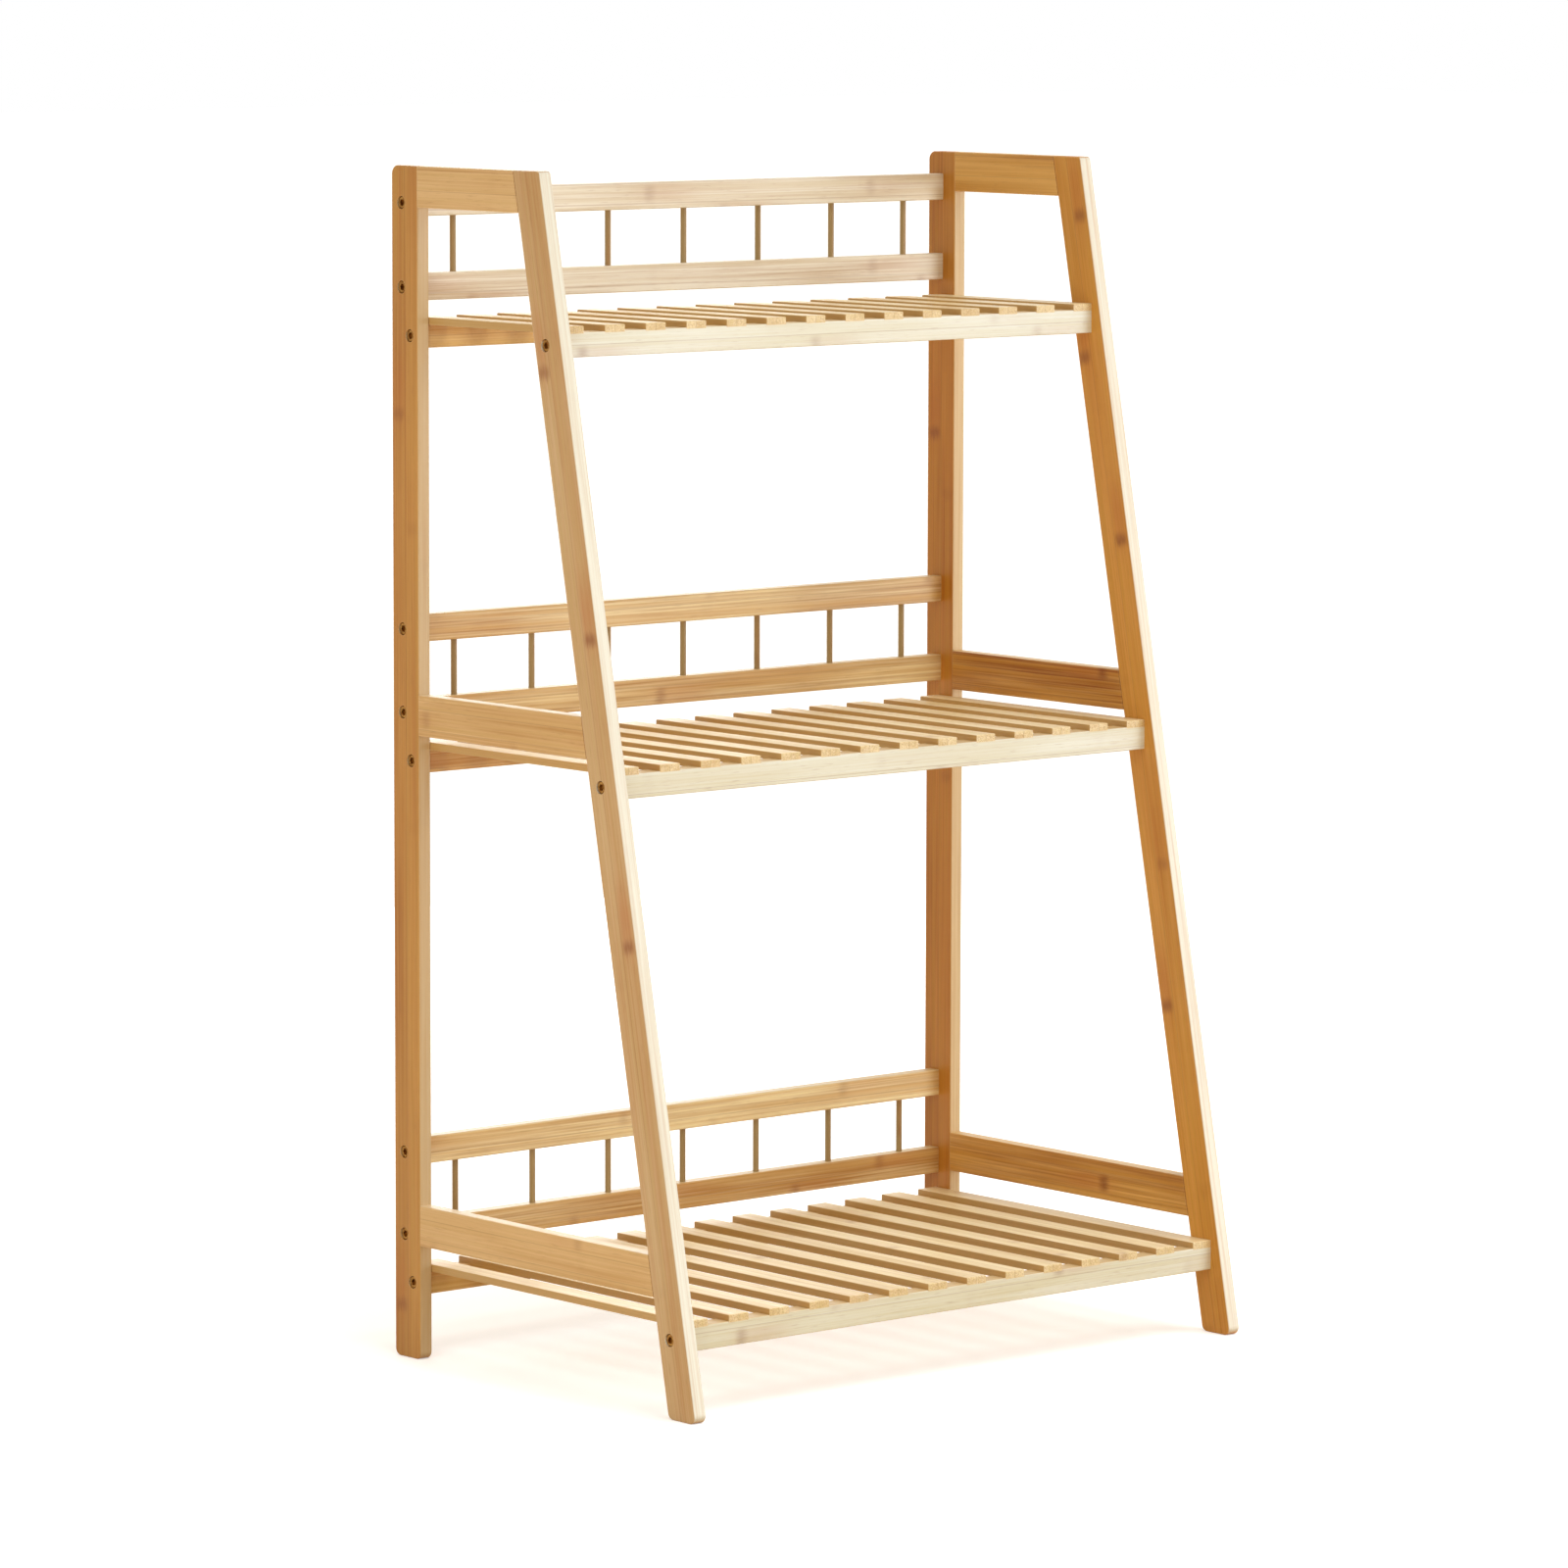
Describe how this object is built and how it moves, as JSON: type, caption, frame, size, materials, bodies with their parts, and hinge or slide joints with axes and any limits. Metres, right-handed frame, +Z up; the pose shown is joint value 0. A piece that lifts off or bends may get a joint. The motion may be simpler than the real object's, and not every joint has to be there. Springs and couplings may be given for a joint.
{
  "type": "plant stand",
  "caption": "Ladder-shaped bamboo plant stand: leaning side frames carry slatted shelves that deepen downwards, each with a low spindle guard behind.",
  "frame": {"origin": "on the floor, in the middle of the stand's footprint", "axes": "+X to the right seen from the front, +Y from the leaning front legs to the upright rear posts, +Z up"},
  "size_m": [0.584, 0.3766, 0.96],
  "materials": {
    "bamboo_frame": "caramel laminated bamboo under satin lacquer, grain along each bar",
    "bamboo_shelf": "pale caramel laminated bamboo under satin lacquer, grain along each bar",
    "bamboo_guard": "caramel laminated bamboo under satin lacquer, grain along each bar",
    "bamboo_spindle": "turned bamboo rod under satin lacquer",
    "beech_dowel": "bare turned beech",
    "bronzed_steel": "bronzed steel, dark brown and slightly dulled"
  },
  "bodies": {
    "root": {"left_frame_dowels": "beech_dowel", "left_frame_screws": "bronzed_steel", "left_front_leg": "bamboo_frame", "left_lower_side_rail": "bamboo_frame", "left_middle_side_rail": "bamboo_frame", "left_rear_post": "bamboo_frame", "left_top_side_rail": "bamboo_frame", "lower_guard_lower_rail": "bamboo_guard", "lower_guard_spindle_1": "bamboo_spindle", "lower_guard_spindle_2": "bamboo_spindle", "lower_guard_spindle_3": "bamboo_spindle", "lower_guard_spindle_4": "bamboo_spindle", "lower_guard_spindle_5": "bamboo_spindle", "lower_guard_spindle_6": "bamboo_spindle", "lower_guard_spindle_7": "bamboo_spindle", "lower_guard_upper_rail": "bamboo_guard", "lower_shelf_front_rail": "bamboo_shelf", "lower_shelf_rear_rail": "bamboo_shelf", "lower_shelf_slats": "bamboo_shelf", "middle_guard_lower_rail": "bamboo_guard", "middle_guard_spindle_1": "bamboo_spindle", "middle_guard_spindle_2": "bamboo_spindle", "middle_guard_spindle_3": "bamboo_spindle", "middle_guard_spindle_4": "bamboo_spindle", "middle_guard_spindle_5": "bamboo_spindle", "middle_guard_spindle_6": "bamboo_spindle", "middle_guard_spindle_7": "bamboo_spindle", "middle_guard_upper_rail": "bamboo_guard", "middle_shelf_front_rail": "bamboo_shelf", "middle_shelf_rear_rail": "bamboo_shelf", "middle_shelf_slats": "bamboo_shelf", "right_frame_dowels": "beech_dowel", "right_frame_screws": "bronzed_steel", "right_front_leg": "bamboo_frame", "right_lower_side_rail": "bamboo_frame", "right_middle_side_rail": "bamboo_frame", "right_rear_post": "bamboo_frame", "right_top_side_rail": "bamboo_frame", "top_guard_lower_rail": "bamboo_guard", "top_guard_spindle_1": "bamboo_spindle", "top_guard_spindle_2": "bamboo_spindle", "top_guard_spindle_3": "bamboo_spindle", "top_guard_spindle_4": "bamboo_spindle", "top_guard_spindle_5": "bamboo_spindle", "top_guard_spindle_6": "bamboo_spindle", "top_guard_spindle_7": "bamboo_spindle", "top_guard_upper_rail": "bamboo_guard", "top_shelf_front_rail": "bamboo_shelf", "top_shelf_rear_rail": "bamboo_shelf", "top_shelf_slats": "bamboo_shelf"}
  },
  "joints": []
}
